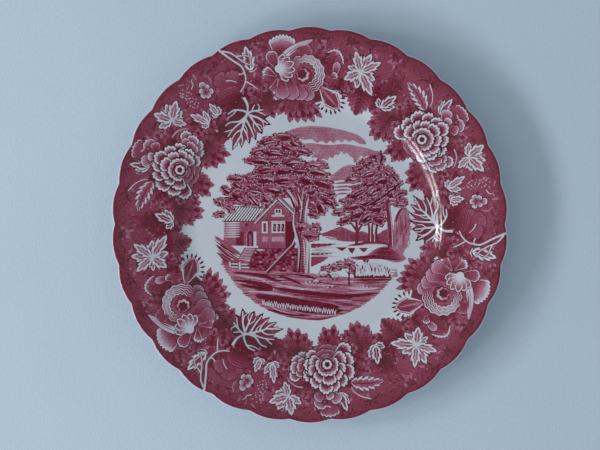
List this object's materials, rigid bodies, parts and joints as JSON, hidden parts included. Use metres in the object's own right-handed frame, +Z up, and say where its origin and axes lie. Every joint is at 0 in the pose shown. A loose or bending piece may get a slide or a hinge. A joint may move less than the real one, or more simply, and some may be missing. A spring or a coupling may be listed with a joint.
{
  "type": "dinner plate",
  "caption": "Round china dinner plate with a scalloped edge, flat well, sloping rim, foot ring, floral border print and landscape centre print.",
  "frame": {"origin": "centre of the plane that the foot ring rests on", "axes": "+Z up out of the face, +X to the right and +Y to the top of the centre print"},
  "size_m": [0.253, 0.254, 0.0241],
  "materials": {
    "earthenware": "matt fired white earthenware",
    "clear_glaze": "clear glossy glaze with a faint blue tint",
    "border_ink": "crimson underglaze print, stippled",
    "centre_ink": "crimson underglaze print, line engraved",
    "mark_ink": "crimson underglaze print"
  },
  "bodies": {
    "root": {"body": "earthenware", "face_glaze": "clear_glaze", "back_glaze": "clear_glaze", "border_print_1": "border_ink", "border_print_2": "border_ink", "border_print_3": "border_ink", "centre_print": "centre_ink", "back_mark": "mark_ink"}
  },
  "joints": []
}
